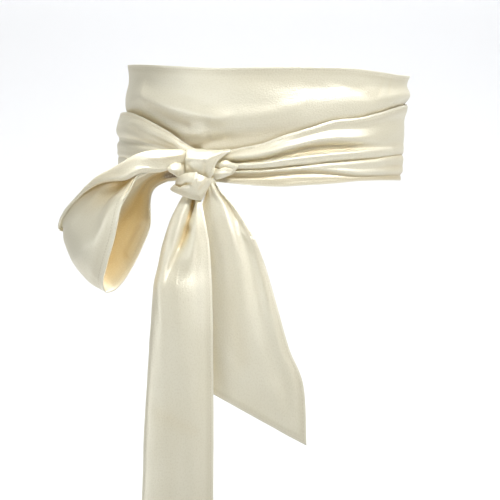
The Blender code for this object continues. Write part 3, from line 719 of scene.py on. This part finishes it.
# Heights down the tail, its left and right sides and its front, how much it is crowned,
# how deep the crease is and where, how wide the turned-back side is, and the slant of
# the sections towards the cut end.
LEFT_TAIL = table("drop left right front crown crease crease_at back slant", [
    (-52, -67, -57, -103.6, 1, 1, 0.5, 4, 0),
    (-62, -73, -55, -109.0, 2, 4, 0.62, 8, 0),
    (-72, -78.5, -53, -111.5, 3, 4, 0.55, 14, 0),
    (-95, -87.3, -49, -114.5, 5, 3, 0.4, 20, 0),
    (-122, -92.2, -47, -117.5, 6, 1, 0.2, 25, 0),
    (-165, -97.2, -46, -120.8, 6, 0, 0.3, 28, 0),
    (-215, -100.8, -45.5, -121, 6, 0, 0.4, 28, 0),
    (-306, -105.6, -45.6, -125, 6, 0, 0.5, 32, 4),
    (-400, -108, -46, -129, 6, 0, 0.5, 38, 12),
    (-480, -109, -46, -133, 5, 0, 0.5, 40, 34),
    (-528, -110, -46, -136, 2, 0, 0.2, 40, 62),
])
BACK_FOLD_DEPTH = 5.0
# From and to a drop and a share across, from the turned-back edge to the right side.
LEFT_TAIL_FOLDS = [
    (54, 0.745, 98, 0.61, 0.012, -3.6, 1.6, 1.3, 1.0, 0.3, 0.8),
    (84, 0.69, 122, 0.50, 0.0, -2.6, 3.4, 2.8, 0.8, 0.1, 0.3),
    (132, 0.57, 200, 0.60, 0.0, 4.0, 14.0, 14.0, 1.0, 0.1, 0),
    (60, 0.92, 130, 0.80, 0.0, -0.8, 3.0, 3.0, 1.0, 0.0, 0),
    (140, 0.64, 480, 0.68, 0.0, 3.0, 20.0, 15.0, 0.5, 1.0, 0),
    (235, 0.51, 249, 0.80, 0.0, -1.0, 6.0, 6.0, 0.6, 0.6, 0),
    (300, 0.60, 500, 0.70, 0.02, -0.8, 9.0, 9.0, 0.2, 1.0, 0),
]


def left_tail_section(row):
    """Points from the turned-back edge round the left side to the right side."""
    width = row["right"] - row["left"]
    deep = min(BACK_FOLD_DEPTH, row["back"])
    back = row["back"] / width
    crown = row["crown"]
    near = row["crease_at"]
    route = [
        (back, deep),
        (0.5 * back, deep * 1.05),
        (0.02, deep * 0.75),
        (0.03, deep * 0.2 - 0.2 * crown),
        (0.5 * near + 0.04, -crown * 0.8),
        (near, row["crease"] - crown * 0.8),
        (0.5 * near + 0.5, -crown),
        (1.0, 0.0),
    ]
    return [(row["left"] + width * share, row["front"] + behind, row["drop"] + row["slant"] * (share - 0.5))
            for share, behind in route]


steps_down = np.linspace(0, 1, TAIL_STATIONS) ** CLOSER_AT_THE_KNOT
first = LEFT_TAIL["drop"][0]
last = LEFT_TAIL["drop"][-1]
drops = first + (last - first) * steps_down
upward = {name: column[::-1] for name, column in LEFT_TAIL.items()}
shares = shares_across(TAIL_POINTS, TAIL_WIDTH)
rows = sections(upward, "drop", drops)
grid = np.array([through(left_tail_section(row), shares) for row in rows])
fold = np.zeros(grid.shape[:2])
crease(grid, fold, -drops, shares, LEFT_TAIL_FOLDS)
ripple(grid, normals(grid), spots(-drops / 45.0, shares * 5.0, 7.0), size=0.6)
left_tail = satin_shell("left_tail_satin", grid, fold, end_hem=True)
wear(left_tail, satin("satin_left_tail", gloss_turn=0.25), "left_tail")

# Right tail: the short free end swings out behind the long one to its own slanted
# cut. Its outer edge is folded in a soft S below the knot.
RIGHT_TAIL_STATIONS = 180
WEDGE_SHADE = 9.0
# Both sides of the tail from the knot down, its crown, and the depth of the S-fold.
RIGHT_TAIL = table("station left_x left_z right_x right_z left_y right_y crown fold", [
    (0, -51, -43.6, -45, -42.6, -103.0, -103.2, 0, 0),
    (1, -52, -55, -39.5, -53, -101.8, -101.8, 2, 1),
    (2, -55, -66, -27, -66, -102, -103, 2, 3),
    (3, -58, -83, -15.5, -84, -103, -106, 3, 3),
    (4, -60, -110, -4, -111, -103, -107, 3, 2),
    (5, -62, -145, 7, -148, -104, -109, 4, 1),
    (6, -63, -178, 17, -183, -105, -111, 4, 0),
    (7, -63, -199, 29, -214, -106, -113, 3, 0),
    (8, -62, -213, 31.6, -264, -107, -115, 2, 0),
])
# From and to a station and a share across, from the left side to the right.
RIGHT_TAIL_FOLDS = [
    (0.5, 0.96, 3.25, 0.93, -0.22, -1.8, 2.0, 3.5, 0.6, 0.35, 0.8),
    (7.2, 0.70, 7.8, 0.84, 0.0, 1.6, 7.0, 7.0, 1.0, 1.0, 0),
    (0.8, 0.84, 3.3, 0.86, -0.12, 1.2, 3.0, 2.0, 0.8, 0.6, 0),
    (3.2, 0.90, 7.4, 0.90, 0.0, 1.2, 5.0, 4.0, 0.6, 0.6, 0),
    (3.0, 0.45, 6.5, 0.50, 0.0, -1.2, 8.0, 8.0, 0.5, 0.6, 0),
]


def right_tail_section(row):
    """Points from the left side to the right one, crowned towards the front."""
    left = np.array([row["left_x"], row["left_y"], row["left_z"]])
    right = np.array([row["right_x"], row["right_y"], row["right_z"]])
    forward = np.array([0.0, -1.0, 0.0])
    crown = row["crown"]
    return [
        left,
        left * 0.7 + right * 0.3 + forward * crown * 0.8,
        left * 0.35 + right * 0.65 + forward * crown,
        left * 0.2 + right * 0.8 + forward * (crown * 0.6 - row["fold"]),
        left * 0.08 + right * 0.92 + forward * crown * 0.5,
        right,
    ]


stations = np.linspace(0, RIGHT_TAIL["station"][-1], RIGHT_TAIL_STATIONS)
rows = sections(RIGHT_TAIL, "station", stations)
grid = np.array([through(right_tail_section(row), shares) for row in rows])
fold = np.zeros(grid.shape[:2])
crease(grid, fold, stations, shares, RIGHT_TAIL_FOLDS)
# Painted shade for the dark wedge at the left side, just below the knot.
wedge = np.maximum(0.28 - 0.10 * stations[:, None], 0.05)
fold += WEDGE_SHADE * bell(shares[None, :], wedge) * bell(stations[:, None] - 1.0, 0.8)
ripple(grid, normals(grid), spots(stations * 0.7, shares * 4.0, 3.0), size=0.6)
right_tail = satin_shell("right_tail_satin", grid, fold, end_hem=True)
wear(right_tail, satin("satin_right_tail", gloss_turn=0.22), "right_tail")

# The knot: four stretches of the strip that show on it, pulled tight. The upper
# strap goes over the knot, the lower strap holds it down, the side fold is the
# crushed end of the outer turn and the loop root is where the loop goes in.
KNOT_STATIONS = 72
KNOT_POINTS = 64
UPPER_STRAP_HEM = 6.5
# Each stretch is a net of points: rows along it, five points across each.
UPPER_STRAP = [
    [(-67.2, -98.6, -19.6), (-59.8, -98.6, -19.1), (-50.7, -98.0, -19.4),
     (-40.8, -96.4, -19.8), (-31.3, -95.2, -19.8)],
    [(-67.8, -105.0, -22.5), (-60.3, -107.3, -23.0), (-50.5, -106.8, -22.7),
     (-41.5, -103.0, -21.0), (-30.7, -96.9, -20.6)],
    [(-68.0, -107.5, -26.5), (-60.5, -111.8, -27.5), (-52.0, -111.8, -27.2),
     (-45.1, -108.4, -24.5), (-34.6, -101.4, -22.8)],
    [(-68.0, -107.8, -31.0), (-60.9, -112.6, -32.1), (-53.2, -113.0, -32.5),
     (-47.1, -110.8, -30.5), (-40.3, -105.0, -26.8)],
    [(-67.7, -107.4, -35.1), (-60.6, -111.4, -36.6), (-53.6, -111.8, -37.9),
     (-48.3, -110.2, -36.7), (-44.1, -106.6, -32.3)],
    [(-66.6, -105.5, -38.9), (-59.9, -108.4, -40.8), (-53.7, -108.4, -42.9),
     (-49.3, -107.4, -43.0), (-45.3, -105.2, -38.9)],
]
LOWER_STRAP = [
    [(-46.6, -110.4, -42.7), (-47.6, -110.6, -46.1), (-49.3, -110.4, -49.8),
     (-51.8, -110.0, -54.7), (-54.7, -109.6, -60.3)],
    [(-49.9, -114.0, -41.9), (-50.8, -115.5, -45.9), (-52.7, -116.0, -50.3),
     (-55.2, -115.2, -55.7), (-57.6, -112.6, -60.2)],
    [(-55.1, -116.0, -39.8), (-56.1, -118.4, -44.4), (-57.7, -119.0, -49.4),
     (-59.8, -118.0, -54.8), (-61.6, -114.4, -59.6)],
    [(-60.4, -116.0, -38.0), (-61.5, -119.0, -42.6), (-63.1, -119.6, -47.7),
     (-65.2, -118.4, -53.5), (-66.7, -114.6, -57.9)],
    [(-67.0, -114.4, -38.5), (-67.6, -116.6, -42.5), (-69.0, -116.8, -46.7),
     (-71.0, -116.0, -51.6), (-72.5, -112.8, -55.7)],
    [(-73.2, -110.6, -41.3), (-73.4, -111.8, -44.5), (-74.9, -112.0, -47.9),
     (-77.1, -111.4, -51.2), (-78.3, -109.6, -53.4)],
    [(-75.3, -107.0, -43.2), (-76.0, -107.2, -45.6), (-77.8, -107.2, -48.3),
     (-79.8, -107.2, -50.7), (-80.6, -106.6, -52.1)],
]
SIDE_FOLD = [
    [(-45.0, -102.2, -32.7), (-45.3, -103.3, -35.6), (-45.5, -103.5, -38.2),
     (-45.0, -102.6, -40.9), (-43.1, -100.6, -43.9)],
    [(-40.3, -101.6, -30.2), (-40.0, -105.2, -33.6), (-39.9, -105.6, -37.0),
     (-39.5, -105.0, -40.1), (-39.1, -100.6, -42.9)],
    [(-35.8, -100.0, -28.1), (-35.4, -104.2, -31.3), (-35.1, -104.8, -34.7),
     (-34.8, -103.8, -38.0), (-34.4, -99.4, -41.3)],
    [(-30.4, -98.6, -30.1), (-30.2, -101.4, -32.4), (-30.2, -102.0, -34.8),
     (-30.2, -101.0, -37.3), (-30.3, -98.4, -39.7)],
    [(-25.0, -97.5, -32.8), (-25.1, -98.1, -33.6), (-25.8, -98.3, -34.6),
     (-26.8, -98.1, -35.8), (-27.6, -97.5, -36.9)],
]
LOOP_ROOT = [
    [(-82.0, -112.9, -33.7), (-82.4, -114.5, -34.6), (-82.0, -115.1, -35.9),
     (-80.9, -114.5, -37.0), (-79.8, -112.1, -37.6)],
    [(-79.5, -110.9, -31.4), (-79.7, -115.3, -33.6), (-79.3, -116.3, -35.7),
     (-78.3, -114.7, -37.8), (-77.4, -110.5, -39.3)],
    [(-75.6, -109.0, -30.2), (-75.5, -114.2, -33.0), (-75.2, -115.2, -36.0),
     (-74.7, -112.4, -39.2), (-74.3, -107.8, -41.4)],
    [(-72.3, -107.2, -30.6), (-72.1, -111.4, -33.2), (-71.9, -112.2, -36.3),
     (-71.8, -109.6, -39.3), (-71.7, -106.0, -41.4)],
    [(-69.3, -104.4, -31.8), (-69.1, -105.0, -34.1), (-69.0, -105.2, -36.5),
     (-69.1, -104.8, -39.0), (-69.1, -104.0, -40.7)],
    [(-65.4, -103.2, -32.6), (-65.4, -103.4, -34.6), (-65.4, -103.4, -36.7),
     (-65.4, -103.4, -38.6), (-65.4, -103.2, -39.9)],
]


def knot_stretch(node, net, folds, hems, hem=HEM_WIDTH):
    """A stretch of the knot, smoothed through its net of points both ways."""
    places = np.linspace(0, 1, KNOT_STATIONS)
    shares = np.linspace(0, 1, KNOT_POINTS)
    rows = np.array([through(row, shares) for row in net])
    grid = np.stack([through(rows[:, point], places) for point in range(KNOT_POINTS)], axis=1)
    fold = np.zeros(grid.shape[:2])
    facing = np.sign(-normals(grid)[KNOT_STATIONS // 2, KNOT_POINTS // 2, 1])
    crease(grid, fold, places, shares, folds, outward=facing)
    piece = satin_shell(node + "_satin", grid, fold, hems=hems, hem=hem)
    wear(piece, satin("satin_" + node), node)


# From and to a share along and a share across, as in the nets.
knot_stretch("upper_strap", UPPER_STRAP, [
    (0.52, 0.02, 0.50, 0.46, 0.0, 0.9, 1.5, 1.5, 1.0, 1.0, 0),
    (0.50, 0.46, 0.16, 0.97, 0.0, 0.9, 1.4, 1.4, 1.0, 1.0, 0),
    (0.70, 0.06, 0.98, 0.34, 0.0, -0.8, 1.6, 1.6, 0.5, 1.0, 0),
    (0.60, 0.50, 1.0, 0.66, 0.0, -0.6, 1.4, 1.4, 0.6, 1.0, 0),
], (0, 1), hem=UPPER_STRAP_HEM)
knot_stretch("lower_strap", LOWER_STRAP, [
    (0.97, 0.45, 0.76, 0.56, 0.0, -2.4, 0.9, 0.9, 1.0, 1.0, 0),
    (0.76, 0.56, 0.62, 0.44, 0.0, -2.2, 0.9, 1.2, 1.0, 0.7, 0.5),
    (0.62, 0.44, 0.46, 0.41, 0.0, -1.6, 0.9, 1.4, 1.0, 0.3, 0.3),
    (0.42, 0.0, 0.45, 0.44, 0.0, 1.2, 1.4, 1.4, 1.0, 1.0, 0),
    (0.45, 0.46, 0.14, 0.86, 0.0, 0.7, 1.6, 1.6, 1.0, 0.6, 0),
    (0.16, 0.06, 0.28, 0.50, 0.0, -0.6, 1.6, 1.6, 0.6, 1.0, 0),
], (0, 1))
knot_stretch("side_fold", SIDE_FOLD, [
    (0.10, 0.08, 0.85, 0.26, 0.0, 1.0, 1.2, 1.2, 0.6, 1.0, 0),
    (0.08, 0.52, 0.66, 0.78, 0.0, 1.2, 1.2, 1.2, 1.0, 1.0, 0),
    (0.10, 0.28, 0.75, 0.52, 0.0, -2.0, 1.1, 1.1, 1.0, 0.5, 0),
    (0.04, 0.10, 0.17, 0.20, 0.0, -2.6, 1.0, 1.0, 1.0, 1.0, 0),
], (0, 0))
knot_stretch("loop_root", LOOP_ROOT, [
    (0.10, 0.5, 0.8, 0.45, 0.0, 0.3, 2.0, 2.0, 1.0, 1.0, 0),
], (0, 0))

# The studio: a plain pale sweep of floor with a light of its own, a soft light from the
# front right, a wide one overhead, a weak cool one from the left, and the camera at the
# photograph's height and distance. Sizes here are in metres.
FLOOR = -0.66
SWEEP_FRONT = -3.5
SWEEP_BACK = 2.2
SWEEP_TOP = 3.0
SWEEP_HALF_WIDTH = 4.0
SWEEP_RADIUS = 0.9
SWEEP_STEPS = 12
PALE_PAPER = (0.89, 0.90, 0.92, 1.0)
profile = [(SWEEP_FRONT, FLOOR), (SWEEP_BACK - SWEEP_RADIUS, FLOOR)]
for step in range(1, SWEEP_STEPS + 1):
    turn = step / SWEEP_STEPS * np.pi / 2
    profile.append((SWEEP_BACK - SWEEP_RADIUS + SWEEP_RADIUS * np.sin(turn),
                    FLOOR + SWEEP_RADIUS - SWEEP_RADIUS * np.cos(turn)))
profile.append((SWEEP_BACK, SWEEP_TOP))
points = [(side, y, z) for y, z in profile for side in (-SWEEP_HALF_WIDTH, SWEEP_HALF_WIDTH)]
faces = [(2 * i, 2 * i + 1, 2 * i + 3, 2 * i + 2) for i in range(len(profile) - 1)]
mesh = bpy.data.meshes.new("sweep")
mesh.from_pydata(points, [], faces)
mesh.shade_smooth()
sweep = bpy.data.objects.new("sweep", mesh)
bpy.context.scene.collection.objects.link(sweep)
paper = bpy.data.materials.new("pale_paper")
paper.use_nodes = True
paper.node_tree.nodes["Principled BSDF"].inputs["Base Color"].default_value = PALE_PAPER
paper.node_tree.nodes["Principled BSDF"].inputs["Roughness"].default_value = 0.9
mesh.materials.append(paper)


def soft_light(name, place, aim, size, beam, power, colour):
    """A round soft light at a place, aimed, with a beam in degrees and its watts."""
    lamp = bpy.data.lights.new(name, "AREA")
    lamp.shape = "DISK"
    lamp.size = size
    lamp.spread = np.radians(beam)
    lamp.energy = power
    lamp.color = colour
    holder = bpy.data.objects.new(name, lamp)
    holder.location = place
    holder.rotation_euler = (Vector(aim) - Vector(place)).to_track_quat("-Z", "Y").to_euler()
    bpy.context.scene.collection.objects.link(holder)


soft_light("key", (0.72, -0.95, 1.05), aim=(0.01, -0.08, 0.06),
           size=0.40, beam=30, power=0.86, colour=(0.97, 0.985, 1.0))
soft_light("overhead", (0.0, -0.6, 1.5), aim=(0.0, -0.08, 0.05),
           size=1.2, beam=44, power=0.25, colour=(0.97, 0.99, 1.0))
soft_light("fill", (-2.0, -1.6, 0.3), aim=(-0.13, -0.06, 0.06),
           size=1.6, beam=30, power=1.4, colour=(0.91, 0.96, 1.0))
soft_light("sweep_light", (0.0, 0.9, 2.6), aim=(0.0, 2.0, 0.0),
           size=2.0, beam=180, power=95.0, colour=(1.0, 1.0, 1.0))
world = bpy.context.scene.world or bpy.data.worlds.new("studio")
bpy.context.scene.world = world
world.use_nodes = True
world.node_tree.nodes["Background"].inputs["Color"].default_value = (1.0, 0.98, 0.93, 1.0)
world.node_tree.nodes["Background"].inputs["Strength"].default_value = 0.26

CAMERA_DISTANCE = 1.25
CAMERA_SIDE = -0.0152
CAMERA_TILT = 5.094
LENS = 100.15
eye = bpy.data.cameras.new("eye")
eye.lens = LENS
eye.sensor_width = 36.0
camera = bpy.data.objects.new("eye", eye)
camera.location = (CAMERA_SIDE, -CAMERA_DISTANCE, 0.0)
camera.rotation_euler = (np.radians(90.0 - CAMERA_TILT), 0.0, 0.0)
bpy.context.scene.collection.objects.link(camera)
bpy.context.scene.camera = camera
bpy.context.scene.view_settings.view_transform = "Standard"
